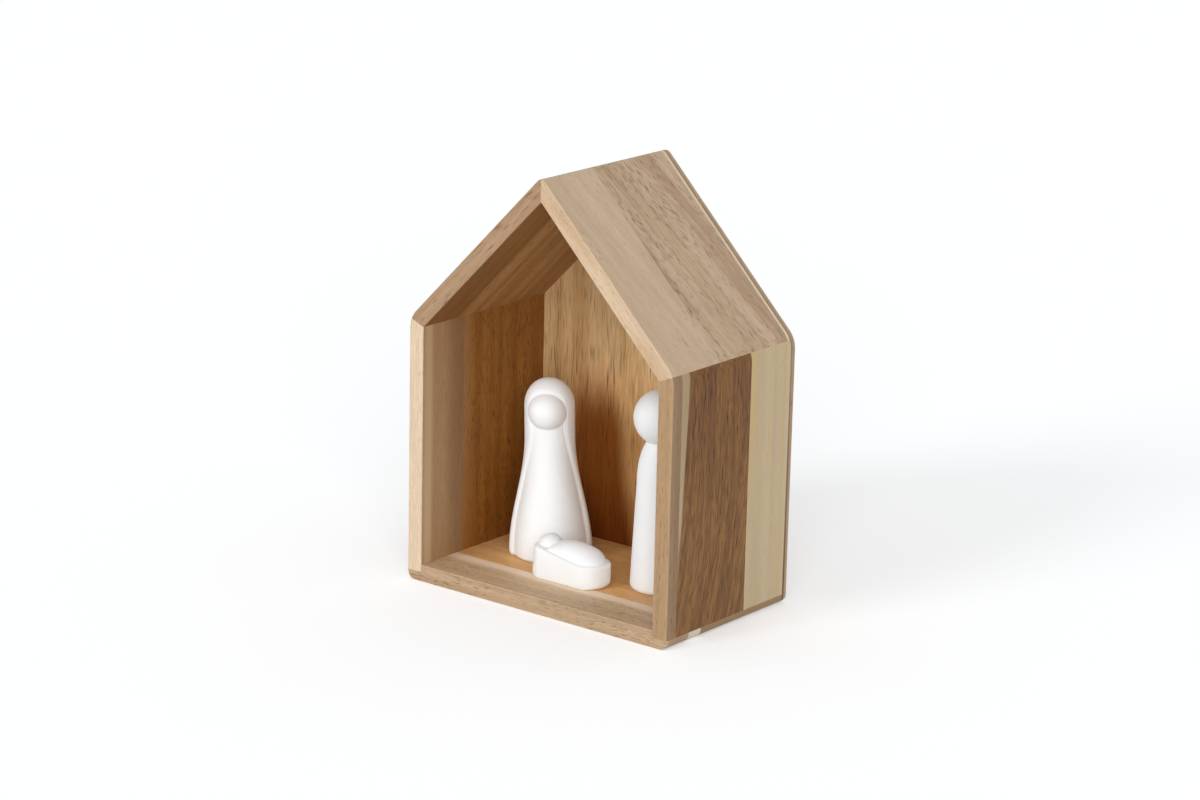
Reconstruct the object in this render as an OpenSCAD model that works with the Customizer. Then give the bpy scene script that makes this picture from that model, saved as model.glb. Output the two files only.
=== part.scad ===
// Small open-fronted wooden nativity stable with three loose ceramic figures.
// The stable is mitred from edge-glued boards, and a three-ply panel closes its back.
// X runs to the right, Y from the open front to the back, Z up. Sizes are in millimetres.

/* [Stable] */
// Width over the walls
body_w = 150; // [130:1:200]
// Depth with the back panel
body_d = 90; // [80:1:120]
// Height of the eaves
eave_h = 124; // [118:1:160]
// Rise of the ridge above the eaves
roof_rise = 76; // [60:1:110]
// Thickness of the base, walls and roof
board_t = 8; // [6:0.5:10]
// Thickness left of the base under a wall's foot
foot_t = 4.6; // [4.2:0.1:5.5]

/* [Back panel] */
// Thickness of each face veneer
veneer_t = 1.2; // [0.8:0.1:1.6]
// Thickness of the core
core_t = 1.6; // [1.2:0.1:3]
// Rounding of the rear edges
back_edge_r = 2; // [1:0.1:2.4]

/* [Rounded edges] */
// Rounding of the base's lower corners
foot_r = 4; // [1:0.5:4]
// Rounding over each eave
eave_r = 12; // [4:0.5:14]
// Rounding over the ridge
ridge_r = 3; // [1:0.5:5]

/* [Edge-glued boards] */
// Width of the base's front strip
base_front_w = 25; // [15:0.5:35]
// Width of the left wall's front strip
left_wall_front_w = 28.5; // [15:0.5:40]
// Width of the right wall's front strip
right_wall_front_w = 6.6; // [4:0.2:12]
// Width of the right wall's middle board
right_wall_middle_w = 50; // [30:1:55]
// Width of the left roof's front board
left_roof_front_w = 23; // [15:0.5:40]
// Width of the right roof's front board
right_roof_front_w = 34; // [20:0.5:50]
// Width of the pale strip at the right roof's back
right_roof_edge_w = 1.6; // [1.2:0.1:4]

/* [Veiled figure] */
// Place across the floor
veiled_x = -34; // [-36:0.2:-33.2]
// Place along the floor
veiled_y = 8.6; // [8:0.2:15]
// Turn to the viewer's right
veiled_turn = 36; // [0:1:60]
// Radius of the robe's flare
veiled_flare_r = 19.5; // [17:0.1:20.2]
// Height of the waist
veiled_waist_h = 57; // [50:0.5:62]
// Radius at the waist
veiled_waist_r = 11.6; // [10.6:0.1:12]
// Height of the hood's widest ring
veiled_hood_h = 72.4; // [68:0.2:76]
// Radius of the hood
veiled_hood_r = 11.8; // [11.7:0.1:13]
// Radius of the blank face ball
veiled_ball_r = 8.8; // [6:0.1:9]
// Thickness of the veil's rim
veil_t = 1.4; // [0.8:0.1:2]

/* [Standing figure] */
// Place across the floor
standing_x = 34.4; // [33.6:0.2:42]
// Place along the floor
standing_y = 3.8; // [-5:0.2:10]
// Radius at the foot
standing_foot_r = 14.4; // [12:0.1:15]
// Height where the shoulders start
standing_chest_h = 50; // [45:0.5:55]
// Radius at the chest
standing_chest_r = 11.2; // [10:0.1:12]
// Height of the shoulders
shoulder_h = 23.5; // [20:0.5:25]
// Radius of the blank ball head
standing_ball_r = 13.2; // [11:0.1:13.6]
// Height of the ball's centre
standing_ball_h = 80.7; // [76:0.1:82]

/* [Cradled infant] */
// Place across the floor
cradle_x = -3; // [-3.4:0.1:0]
// Place along the floor
cradle_y = -14.5; // [-19:0.5:-14]
// Length of the cradle
cradle_l = 41; // [38:0.5:42]
// Width of the cradle
cradle_w = 19; // [17:0.5:20]
// Height of the rim at the head
cradle_head_h = 14.2; // [13:0.1:15]
// Height of the rim at the feet
cradle_foot_h = 11; // [10:0.1:12.5]
// Radius of the swaddled bundle
bundle_r = 7.4; // [6.5:0.1:7.6]
// Radius of the blank ball head
infant_ball_r = 5.1; // [4:0.1:5.5]

/* [Hidden] */
$fn = 64;

// Colours of the woods and the ceramic
tan_wood = "#bf9f7d";
brown_wood = "#8a6847";
cream_wood = "#e4d3b0";
honey_wood = "#b28d61";
ceramic_white = "#f2f1f0";

// Steps in each drawn arc
arc_steps = 8;
// How far each cutter runs past what it cuts
overrun = 2 * board_t;
// Thin air under each loose figure
figure_gap = board_t / 80;

// Outline of the stable, seen from the front
half_w = body_w / 2;
front_y = -body_d / 2;
rear_y = body_d / 2;
panel_y = rear_y - core_t - 2 * veneer_t;
ridge_h = eave_h + roof_rise;
pitch = atan2(roof_rise, half_w);
eave_turn = 90 - pitch;
roof_drop = board_t / cos(pitch);
inner_half_w = half_w - board_t;
inner_ridge_h = ridge_h - roof_drop;
inner_eave_h = inner_ridge_h - inner_half_w * tan(pitch);
foot_centre = [-half_w + foot_r, foot_r];
eave_centre = [-half_w + eave_r, eave_h - eave_r * tan(eave_turn / 2)];
ridge_centre = [0, ridge_h - ridge_r / cos(pitch)];
roof_reach = ridge_h * cos(pitch);

// Joints between the edge-glued boards, from front to back
base_joint_y = front_y + base_front_w;
left_wall_joint_y = front_y + left_wall_front_w;
right_wall_front_joint_y = front_y + right_wall_front_w;
right_wall_rear_joint_y = right_wall_front_joint_y + right_wall_middle_w;
left_roof_joint_y = front_y + left_roof_front_w;
right_roof_joint_y = front_y + right_roof_front_w;
right_roof_edge_joint_y = panel_y - right_roof_edge_w;

// Proportions of the veiled figure, as shares of the sizes they follow
hem_share = 0.1;
knee_share = 0.55;
ball_forward_share = 0.45;
ball_drop_share = 0.25;
face_rim_share = 1.08;
dress_top_share = 0.9;
opening_depth_share = 0.2;
opening_foot_share = 0.9;
opening_knee_share = 0.93;
opening_neck_share = 0.65;

// Veiled figure, heights from its own foot
hem_r = veiled_flare_r * hem_share;
knee_h = veiled_waist_h * knee_share;
ball_forward = veiled_hood_r * ball_forward_share;
ball_h = veiled_hood_h - veiled_hood_r * ball_drop_share;
face_rim_r = veiled_ball_r * face_rim_share;
dress_top_h = ball_h - veiled_ball_r * dress_top_share;
opening_depth = veiled_hood_r * opening_depth_share;

// Standing figure's rounded hem
standing_hem_r = standing_foot_r / 6;

// Proportions of the cradle, as shares of the sizes they follow
bundle_drop_share = 0.08;
bundle_start_share = 0.2;
infant_ball_rise_share = 0.16;
infant_ball_reach_share = 1.08;

// Cradle, heights from its own foot
cradle_r = cradle_w / 2;
cradle_reach = cradle_l / 2 - cradle_r;
cradle_foot_r = cradle_w / 6;
rim_slope = atan2(cradle_head_h - cradle_foot_h, cradle_l);
bundle_h = cradle_foot_h - bundle_r * bundle_drop_share;
bundle_start_x = -cradle_reach * bundle_start_share;
infant_ball_h = cradle_head_h + infant_ball_r * infant_ball_rise_share;
infant_ball_x = -cradle_reach * infant_ball_reach_share;

// Points of an arc about a centre, from one angle to another
function arc(centre, radius, start, end) = [
  for (i = [0 : arc_steps])
    centre + radius * [
      cos(start + (end - start) * i / arc_steps),
      sin(start + (end - start) * i / arc_steps)
    ]
];

// Radius of the robe at a height, from the hem to the waist
function robe_r(h) = veiled_waist_r
  + (veiled_flare_r - veiled_waist_r) * (1 + cos(180 * h / veiled_waist_h)) / 2;

// Radius of the hood at a height, from the waist to its widest ring
function hood_r(h) = veiled_waist_r + (veiled_hood_r - veiled_waist_r)
  * (1 - cos(180 * (h - veiled_waist_h) / (veiled_hood_h - veiled_waist_h))) / 2;

// Half width of the standing figure at a height, up to the shoulders
function coat_r(h) = standing_chest_r
  + (standing_foot_r - standing_chest_r) * (1 - h / standing_chest_h);

// Half outline of the robe and hood, thinner all round by the inset
function robe_profile(inset) = concat(
  [[0, 0]],
  arc([robe_r(hem_r) - hem_r - inset, hem_r], hem_r, -90, 0),
  [for (i = [1 : arc_steps - 1])
    let (h = hem_r + (veiled_waist_h - hem_r) * i / arc_steps)
      [robe_r(h) - inset, h]],
  [for (i = [0 : arc_steps - 1])
    let (h = veiled_waist_h + (veiled_hood_h - veiled_waist_h) * i / arc_steps)
      [hood_r(h) - inset, h]],
  arc([0, veiled_hood_h], veiled_hood_r - inset, 0, 90)
);

// Half outline of the standing figure's body
function coat_profile() = concat(
  [[0, 0]],
  arc([coat_r(standing_hem_r) - standing_hem_r, standing_hem_r], standing_hem_r, -90, 0),
  [for (i = [0 : arc_steps])
    [standing_chest_r * cos(90 * i / arc_steps),
      standing_chest_h + shoulder_h * sin(90 * i / arc_steps)]]
);

// Half outline of the cradle's side, with its lower edge rounded
function cradle_profile() = concat(
  [[0, 0]],
  arc([cradle_r - cradle_foot_r, cradle_foot_r], cradle_foot_r, -90, 0),
  [[cradle_r, cradle_head_h], [0, cradle_head_h]]
);

// A slice of a front view between two depths
module slice(y0, y1) {
  translate([0, y1, 0])
    rotate([90, 0, 0])
      linear_extrude(y1 - y0)
        children();
}

// Front view of the base, with a rabbet at each end for a wall's foot
module base_outline() {
  polygon(concat(
    arc(foot_centre, foot_r, 180, 270),
    arc([-foot_centre.x, foot_centre.y], foot_r, 270, 360),
    [[half_w, foot_t], [inner_half_w, foot_t], [inner_half_w, board_t],
      [-inner_half_w, board_t], [-inner_half_w, foot_t], [-half_w, foot_t]]
  ));
}

// Front view of the left wall, mitred under the eave
module wall_outline() {
  polygon(concat(
    [[-inner_half_w, foot_t], [-half_w, foot_t]],
    arc(eave_centre, eave_r, 180, 180 - eave_turn / 2),
    [[-inner_half_w, inner_eave_h]]
  ));
}

// Front view of the left roof, mitred at the eave and the ridge
module roof_outline() {
  polygon(concat(
    [[-inner_half_w, inner_eave_h]],
    arc(eave_centre, eave_r, 180 - eave_turn / 2, 180 - eave_turn),
    arc(ridge_centre, ridge_r, 90 + pitch, 90),
    [[0, inner_ridge_h]]
  ));
}

// Front view of the whole stable
module house_outline() {
  polygon(concat(
    arc(foot_centre, foot_r, 270, 180),
    arc(eave_centre, eave_r, 180, 180 - eave_turn),
    arc(ridge_centre, ridge_r, 90 + pitch, 90 - pitch),
    [for (p = arc(eave_centre, eave_r, 180 - eave_turn, 180)) [-p.x, p.y]],
    [for (p = arc(foot_centre, foot_r, 180, 270)) [-p.x, p.y]]
  ));
}

// All that lies within one outer face and its rounded rear edge
module edge_keeper(distance) {
  linear_extrude(3 * ridge_h, center = true)
    polygon(concat(
      [[-2 * ridge_h, panel_y - overrun], [distance, panel_y - overrun]],
      arc([distance - back_edge_r, rear_y - back_edge_r], back_edge_r, 0, 90),
      [[-2 * ridge_h, rear_y]]
    ));
}

// One layer of the back panel between two depths
module panel_layer(y0, y1) {
  intersection() {
    slice(y0, y1)
      house_outline();
    edge_keeper(half_w);
    mirror([1, 0, 0])
      edge_keeper(half_w);
    rotate([0, -eave_turn, 0])
      edge_keeper(roof_reach);
    mirror([1, 0, 0])
      rotate([0, -eave_turn, 0])
        edge_keeper(roof_reach);
    rotate([0, 90, 0])
      edge_keeper(0);
  }
}

module base_front_strip() {
  color(tan_wood)
    slice(front_y, base_joint_y)
      base_outline();
}

module base_rear_board() {
  color(brown_wood)
    slice(base_joint_y, panel_y)
      base_outline();
}

module left_wall_front_strip() {
  color(cream_wood)
    slice(front_y, left_wall_joint_y)
      wall_outline();
}

module left_wall_rear_board() {
  color(brown_wood)
    slice(left_wall_joint_y, panel_y)
      wall_outline();
}

module right_wall_front_strip() {
  color(honey_wood)
    mirror([1, 0, 0])
      slice(front_y, right_wall_front_joint_y)
        wall_outline();
}

module right_wall_middle_board() {
  color(brown_wood)
    mirror([1, 0, 0])
      slice(right_wall_front_joint_y, right_wall_rear_joint_y)
        wall_outline();
}

module right_wall_rear_board() {
  color(cream_wood)
    mirror([1, 0, 0])
      slice(right_wall_rear_joint_y, panel_y)
        wall_outline();
}

module left_roof_front_board() {
  color(brown_wood)
    slice(front_y, left_roof_joint_y)
      roof_outline();
}

module left_roof_rear_board() {
  color(honey_wood)
    slice(left_roof_joint_y, panel_y)
      roof_outline();
}

module right_roof_front_board() {
  color(tan_wood)
    mirror([1, 0, 0])
      slice(front_y, right_roof_joint_y)
        roof_outline();
}

module right_roof_rear_board() {
  color(honey_wood)
    mirror([1, 0, 0])
      slice(right_roof_joint_y, right_roof_edge_joint_y)
        roof_outline();
}

module right_roof_edge_strip() {
  color(cream_wood)
    mirror([1, 0, 0])
      slice(right_roof_edge_joint_y, panel_y)
        roof_outline();
}

module back_inner_veneer() {
  color(honey_wood)
    panel_layer(panel_y, panel_y + veneer_t);
}

module back_core() {
  color(tan_wood)
    panel_layer(panel_y + veneer_t, rear_y - veneer_t);
}

module back_outer_veneer() {
  color(brown_wood)
    panel_layer(rear_y - veneer_t, rear_y);
}

// Front view of the veil's opening, wide at the hem and round about the face
module veil_opening() {
  foot_w = robe_r(hem_r) * opening_foot_share;
  knee_w = robe_r(knee_h) * opening_knee_share;
  neck_w = veiled_waist_r * opening_neck_share;
  union() {
    polygon([
      [-foot_w, -overrun], [foot_w, -overrun], [foot_w, 0], [knee_w, knee_h],
      [neck_w, veiled_waist_h], [neck_w, ball_h], [-neck_w, ball_h],
      [-neck_w, veiled_waist_h], [-knee_w, knee_h], [-foot_w, 0]
    ]);
    translate([0, ball_h])
      circle(face_rim_r);
  }
}

module veiled_figure() {
  color(ceramic_white)
    translate([veiled_x, veiled_y, board_t + figure_gap])
      rotate([0, 0, veiled_turn])
        union() {
          difference() {
            rotate_extrude()
              polygon(robe_profile(0));
            slice(-2 * veiled_flare_r, -opening_depth)
              veil_opening();
          }
          intersection() {
            rotate_extrude()
              polygon(robe_profile(veil_t));
            slice(-2 * veiled_flare_r, 0)
              translate([-veiled_flare_r, 0])
                square([2 * veiled_flare_r, dress_top_h]);
          }
          translate([0, -ball_forward, ball_h])
            sphere(veiled_ball_r);
        }
}

module standing_figure() {
  color(ceramic_white)
    translate([standing_x, standing_y, board_t + figure_gap])
      union() {
        rotate_extrude()
          polygon(coat_profile());
        translate([0, 0, standing_ball_h])
          sphere(standing_ball_r);
      }
}

// Round-ended cradle body with a level top
module cradle_body() {
  union() {
    for (side = [-1, 1])
      translate([side * cradle_reach, 0, 0])
        rotate_extrude()
          polygon(cradle_profile());
    rotate([90, 0, 90])
      linear_extrude(2 * cradle_reach, center = true)
        union() {
          polygon(cradle_profile());
          mirror([1, 0])
            polygon(cradle_profile());
        }
  }
}

module cradled_infant() {
  color(ceramic_white)
    translate([cradle_x, cradle_y, board_t + figure_gap])
      union() {
        difference() {
          cradle_body();
          translate([-cradle_l / 2, -cradle_w, cradle_head_h])
            rotate([0, rim_slope, 0])
              cube([2 * cradle_l, 2 * cradle_w, cradle_head_h]);
        }
        for (x = [bundle_start_x, cradle_reach])
          translate([x, 0, bundle_h])
            sphere(bundle_r);
        translate([bundle_start_x, 0, bundle_h])
          rotate([0, 90, 0])
            cylinder(cradle_reach - bundle_start_x, bundle_r, bundle_r);
        translate([infant_ball_x, 0, infant_ball_h])
          sphere(infant_ball_r);
      }
}

base_front_strip();
base_rear_board();
left_wall_front_strip();
left_wall_rear_board();
right_wall_front_strip();
right_wall_middle_board();
right_wall_rear_board();
left_roof_front_board();
left_roof_rear_board();
right_roof_front_board();
right_roof_rear_board();
right_roof_edge_strip();
back_inner_veneer();
back_core();
back_outer_veneer();
veiled_figure();
standing_figure();
cradled_infant();
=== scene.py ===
"""Looks of a small wooden nativity stable and its three loose white figures.

Lengths are in millimetres, and MM turns them into metres where they are handed over.
X runs to the right, Y from the open front to the back, and Z up.
"""

import math
import re

import bmesh
import bpy
import numpy as np
from mathutils import Matrix, Vector


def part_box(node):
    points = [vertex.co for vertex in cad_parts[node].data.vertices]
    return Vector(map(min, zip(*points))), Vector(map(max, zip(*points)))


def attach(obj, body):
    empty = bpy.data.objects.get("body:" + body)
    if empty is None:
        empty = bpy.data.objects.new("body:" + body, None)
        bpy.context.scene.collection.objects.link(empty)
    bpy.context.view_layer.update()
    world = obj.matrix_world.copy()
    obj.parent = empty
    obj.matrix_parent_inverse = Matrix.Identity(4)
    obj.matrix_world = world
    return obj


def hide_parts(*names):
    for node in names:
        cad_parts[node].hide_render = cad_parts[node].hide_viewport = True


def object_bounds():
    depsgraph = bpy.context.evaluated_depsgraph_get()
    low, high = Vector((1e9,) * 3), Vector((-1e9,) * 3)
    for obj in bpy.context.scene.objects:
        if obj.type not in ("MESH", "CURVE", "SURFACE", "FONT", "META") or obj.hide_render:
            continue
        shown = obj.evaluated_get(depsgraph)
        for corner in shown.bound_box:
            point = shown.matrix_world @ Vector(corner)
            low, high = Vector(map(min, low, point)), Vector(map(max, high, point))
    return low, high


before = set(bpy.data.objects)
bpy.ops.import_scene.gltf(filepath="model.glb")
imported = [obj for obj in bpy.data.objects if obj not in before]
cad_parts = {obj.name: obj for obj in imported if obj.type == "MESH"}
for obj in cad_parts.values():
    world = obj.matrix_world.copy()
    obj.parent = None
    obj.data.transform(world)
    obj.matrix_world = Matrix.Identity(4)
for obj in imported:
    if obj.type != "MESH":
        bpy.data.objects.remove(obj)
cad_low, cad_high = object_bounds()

MM = 0.001
MIRROR = np.array([-1.0, 1.0])
WHITE = (1.0, 1.0, 1.0, 1.0)


def span(node):
    """Lowest and highest corner of a construction node, in millimetres."""
    low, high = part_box(node)
    return np.array(low) / MM, np.array(high) / MM


# Sizes of the stable

stable_low, stable_high = np.array(cad_low) / MM, np.array(cad_high) / MM
wall_low, wall_high = span("left_wall_rear_board")
base_top = span("base_rear_board")[1][2]
half_w = stable_high[0]
front_y = stable_low[1]
rear_y = stable_high[1]
panel_y = wall_high[1]
inner_half_w = -wall_high[0]
board_t = half_w - inner_half_w
foot_t = wall_low[2]
eave_h = 124.0
roof_rise = 76.0
foot_r = 4.0
eave_r = 12.0
ridge_r = 3.0
panel_edge_r = 1.4

pitch = math.atan2(roof_rise, half_w)
pitch_deg = math.degrees(pitch)
eave_turn = 90 - pitch_deg
ridge_h = eave_h + roof_rise
inner_ridge_h = ridge_h - board_t / math.cos(pitch)
inner_eave_h = inner_ridge_h - inner_half_w * math.tan(pitch)


# Sanded edges, with each wave of their radius as (share, length, start)

sanded_r = 0.42
support_share = 1.8
sanding_slant = 0.7
sanding_waves = [(0.10, 14.0, 1.0), (0.06, 5.3, 0.0)]


# Fineness of the meshes

arc_steps = 14
sanded_rings = 5
rim_rings = 7
column_crowding = 0.35
halvings = 34
straight_cross = 0.03
crease_angle = math.radians(28)
merge_distance = 1e-7


# Camera, where the photograph was taken from

camera_azimuth = math.radians(38.242)
camera_elevation = math.radians(15.772)
camera_roll = math.radians(1.315)
camera_distance = 1623.0
camera_target = Vector((-0.24, 0.0, 90.19))
camera_sensor = 36.0
camera_near = 50.0
camera_far = 50000.0
focal_pixels = 3600.0
photo_width = 1200.0


def make_camera():
    """Camera at target - distance x view direction, rolled about that direction."""
    sight = Vector((
        -math.sin(camera_azimuth) * math.cos(camera_elevation),
        math.cos(camera_azimuth) * math.cos(camera_elevation),
        -math.sin(camera_elevation),
    ))
    level = Vector((math.cos(camera_azimuth), math.sin(camera_azimuth), 0.0))
    upright = level.cross(sight)
    across = math.cos(camera_roll) * level + math.sin(camera_roll) * upright
    up = across.cross(sight)
    place = (camera_target - sight * camera_distance) * MM
    data = bpy.data.cameras.new("camera")
    data.sensor_width = camera_sensor
    data.lens = focal_pixels * camera_sensor / photo_width
    data.clip_start = camera_near * MM
    data.clip_end = camera_far * MM
    camera = bpy.data.objects.new("camera", data)
    turn = Matrix((across, up, -sight)).transposed().to_4x4()
    camera.matrix_world = Matrix.Translation(place) @ turn
    bpy.context.scene.collection.objects.link(camera)
    bpy.context.scene.camera = camera


# Meshes

def new_piece(node, points, faces, material, body):
    """Mesh object from points in millimetres, which stands for one construction node."""
    name = f"{node}_finish"
    mesh = bpy.data.meshes.new(name)
    mesh.from_pydata((np.asarray(points) * MM).tolist(), [], faces)
    mesh.update()
    piece = bpy.data.objects.new(name, mesh)
    bpy.context.scene.collection.objects.link(piece)
    mesh.materials.append(material)
    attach(piece, body)
    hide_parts(node)
    return piece


def arc(centre, radius, start, end, steps=arc_steps):
    """Points of a circle at equal angles: centre + radius (cos a, sin a), a in degrees."""
    angle = np.radians(np.linspace(start, end, steps + 1))
    return np.asarray(centre) + radius * np.stack([np.cos(angle), np.sin(angle)], 1)


def front_view(runs, step=2.0):
    """Closed outline, counterclockwise, with a flag on each edge.

    Each run is (points, flag). An edge has the flag of the run that it starts in: 1 where
    its front edge is sanded round, 0 where it is glued. A sanded edge is divided into
    equal parts p + (q - p) j / n, none longer than the step, and a glued one is not.
    """
    corners = np.concatenate([np.atleast_2d(points) for points, _ in runs])
    flags = np.concatenate([
        np.full(len(np.atleast_2d(points)), float(flag)) for points, flag in runs
    ])
    after = np.roll(corners, -1, axis=0)
    twice_area = np.sum(corners[:, 0] * after[:, 1] - after[:, 0] * corners[:, 1])
    if twice_area < 0:
        corners = corners[::-1]
        flags = np.roll(flags[::-1], -1)
        after = np.roll(corners, -1, axis=0)
    length = np.linalg.norm(after - corners, axis=1)
    parts = np.where(flags > 0, np.maximum(np.ceil(length / step), 1), 1).astype(int)
    start = np.repeat(np.arange(len(corners)), parts)
    part = np.arange(len(start)) - np.repeat(np.cumsum(parts) - parts, parts)
    share = (part / parts[start])[:, None]
    return corners[start] + (after - corners)[start] * share, flags[start]


def mirrored(view):
    """The same outline on the other side of the ridge, counterclockwise again."""
    points, flags = view
    return points[::-1] * MIRROR, np.roll(flags[::-1], -1)


def inward(points, flags):
    """How each point moves for an inset of 1: the point where both edges' inset lines meet.

    With outward normals m and n of the two edges and their flags f and g, the move d
    solves m.d = -f and n.d = -g. On a straight run it is -(f + g) / 2 along the normal.
    """
    edge = np.roll(points, -1, axis=0) - points
    normal = np.stack([edge[:, 1], -edge[:, 0]], 1)
    normal /= np.linalg.norm(normal, axis=1)[:, None]
    before, flag_before = np.roll(normal, 1, axis=0), np.roll(flags, 1)
    cross = before[:, 0] * normal[:, 1] - before[:, 1] * normal[:, 0]
    turns = np.abs(cross) >= straight_cross
    meet = np.stack([
        -flag_before * normal[:, 1] + flags * before[:, 1],
        flag_before * normal[:, 0] - flags * before[:, 0],
    ], 1) / np.where(turns, cross, 1.0)[:, None]
    middle = before + normal
    middle /= np.sum(middle * normal, axis=1)[:, None]
    straight = -middle * ((flag_before + flags) / 2)[:, None]
    return np.where(turns[:, None], meet, straight)


def hand_sanded(points):
    """Slow change of the sanded radius along an edge: 1 plus two sines of the place."""
    place = points[:, 0] * sanding_slant + points[:, 1]
    waves = [share * np.sin(place / length + start) for share, length, start in sanding_waves]
    return 1 + sum(waves)


def loft(node, view, stations, material):
    """A front view carried from front to back.

    Each station is (y, inset, wear). Ring k is the outline moved by inset times its inward
    moves, at depth y. The end rings are closed by one face each. Wear is kept as an
    attribute, 1 on a sanded edge and 0 away from it.
    """
    points, flags = view
    move = inward(points, flags) * hand_sanded(points)[:, None]
    y, inset, wear = (np.array(column) for column in zip(*stations))
    flat = points[None] + move[None] * inset[:, None, None]
    depth = np.broadcast_to(y[:, None], flat.shape[:2])
    rings = np.stack([flat[..., 0], depth, flat[..., 1]], 2)
    rows, columns = rings.shape[:2]
    index = np.arange(rows * columns).reshape(rows, columns)
    beside = np.roll(index, -1, axis=1)
    quads = np.stack([index[:-1], index[1:], beside[1:], beside[:-1]], 2).reshape(-1, 4)
    faces = quads.tolist() + [index[0].tolist(), index[-1][::-1].tolist()]
    mesh = new_piece(node, rings.reshape(-1, 3), faces, material, "stable").data
    smooth = np.ones(len(faces), bool)
    smooth[-2:] = False
    mesh.polygons.foreach_set("use_smooth", smooth)
    mesh.set_sharp_from_angle(angle=crease_angle)
    worn = mesh.attributes.new("wear", "FLOAT", "POINT")
    worn.data.foreach_set("value", np.repeat(wear, columns).astype(np.float32))
    mesh.update()


def sanded_front(y0, y1):
    """Stations of a board whose front edges are rounded by a quarter circle."""
    turn = np.radians(np.linspace(0, 90, sanded_rings))
    support = support_share * sanded_r
    round_part = [
        (y0 + sanded_r * (1 - math.cos(a)), sanded_r * (1 - math.sin(a)), 1.0) for a in turn
    ]
    return [(y0, support, 0.0), *round_part, (y0 + support, 0.0, 0.0), (y1, 0.0, 0.0)]


def plain_board(y0, y1):
    """Stations of a board between two glued joints."""
    return [(y0, 0.0, 0.0), (y1, 0.0, 0.0)]


def panel_layer(y0, y1):
    """Stations of one layer of the panel, drawn in along the quarter circle at the rear."""
    start = rear_y - panel_edge_r
    first = min(max(y0, start), y1)
    depth = np.unique(np.concatenate([[y0, y1], np.linspace(first, y1, rim_rings)]))
    past = np.clip(depth - start, 0, panel_edge_r)
    inset = panel_edge_r - np.sqrt(panel_edge_r ** 2 - past ** 2)
    stations = list(zip(depth, inset, past / panel_edge_r))
    if y1 >= rear_y:
        stations.append((y1, panel_edge_r + sanded_r, 0.0))
    return stations


def closed_grid(node, points, material, body):
    """Closed surface from a grid of points, closed around and at its first and last rows.

    Points that fall together there are merged, and the faces are turned outwards.
    """
    rows, columns = points.shape[:2]
    index = np.arange(rows * columns).reshape(rows, columns)
    beside = np.roll(index, -1, axis=1)
    quads = np.stack([index[:-1], beside[:-1], beside[1:], index[1:]], 2).reshape(-1, 4)
    mesh = new_piece(node, points.reshape(-1, 3), quads.tolist(), material, body).data
    work = bmesh.new()
    work.from_mesh(mesh)
    bmesh.ops.remove_doubles(work, verts=work.verts, dist=merge_distance)
    bmesh.ops.recalc_face_normals(work, faces=work.faces)
    if work.calc_volume(signed=True) < 0:
        bmesh.ops.reverse_faces(work, faces=work.faces)
    work.to_mesh(mesh)
    work.free()
    mesh.polygons.foreach_set("use_smooth", np.ones(len(mesh.polygons), bool))
    mesh.update()


def ease(low, high, x):
    """0 below low, 1 above high, and t t (3 - 2 t) between."""
    t = np.clip((x - low) / (high - low), 0, 1)
    return t * t * (3 - 2 * t)


def join(a, b, fillet):
    """The greater of two lengths, rounded where they meet: a h + b (1 - h) + k h (1 - h)."""
    h = np.clip(0.5 + 0.5 * (a - b) / fillet, 0, 1)
    return a * h + b * (1 - h) + fillet * h * (1 - h)


def ray_fan(knots, columns):
    """Rays that leave an upright spine, as (heights, elevations, azimuths) on a grid.

    Each knot is (spine height, elevation in degrees, rows up to the next knot), and both
    run straight from knot to knot. Azimuth 0 points forward, where the columns
    u - crowding sin u stand closer.
    """
    heights, tilts, rows = (np.array(column, float) for column in zip(*knots))
    at = np.concatenate([[0.0], np.cumsum(rows[:-1])])
    row = np.arange(int(at[-1]) + 1)
    height = np.interp(row, at, heights)[:, None]
    tilt = np.radians(np.interp(row, at, tilts))[:, None]
    even = np.linspace(-np.pi, np.pi, columns, endpoint=False)[None]
    return np.broadcast_arrays(height, tilt, even - column_crowding * np.sin(even))


def reach_of_turned(height, tilt, azimuth, radius_at, forward_at, furthest=60.0):
    """Length of each ray to a turned surface moved forward, by halving.

    A place is inside where its distance from the axis, which lies forward of the spine by
    an amount that changes with height, is less than the radius at its height.
    """
    near = np.zeros_like(height)
    far = np.full_like(height, furthest)
    for _ in range(halvings):
        middle = (near + far) / 2
        z = height + middle * np.sin(tilt)
        level = middle * np.cos(tilt)
        away = np.hypot(level * np.cos(azimuth) - forward_at(z), level * np.sin(azimuth))
        inside = away < radius_at(z)
        near = np.where(inside, middle, near)
        far = np.where(inside, far, middle)
    return (near + far) / 2


def reach_of_ball(height, tilt, azimuth, forward, centre_h, radius):
    """Length of each ray to a ball, from the quadratic for its far side, or 0 if it misses."""
    rise = centre_h - height
    along = forward * np.cos(tilt) * np.cos(azimuth) + rise * np.sin(tilt)
    inside_root = along ** 2 - forward ** 2 - rise ** 2 + radius ** 2
    return np.where(inside_root > 0, along + np.sqrt(np.maximum(inside_root, 0)), 0.0)


def standing_points(heading, level, z, place, lean):
    """Points in the stable's axes, at a level distance from the axis in each heading.

    Heading 0 is -Y and 90 degrees is X. The figure leans by a shear, its points moving to
    the camera's left by lean times their height.
    """
    aside = lean * z
    return np.stack([
        place[0] + level * np.sin(heading) - aside * math.cos(camera_azimuth),
        place[1] - level * np.cos(heading) - aside * math.sin(camera_azimuth),
        place[2] + z,
    ], 2)


# Node helpers

def srgb(red, green, blue):
    """Linear colour from three display values of 0 to 255."""
    shown = np.array([red, green, blue]) / 255
    linear = np.where(shown <= 0.04045, shown / 12.92, ((shown + 0.055) / 1.055) ** 2.4)
    return (*linear.tolist(), 1.0)


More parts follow.
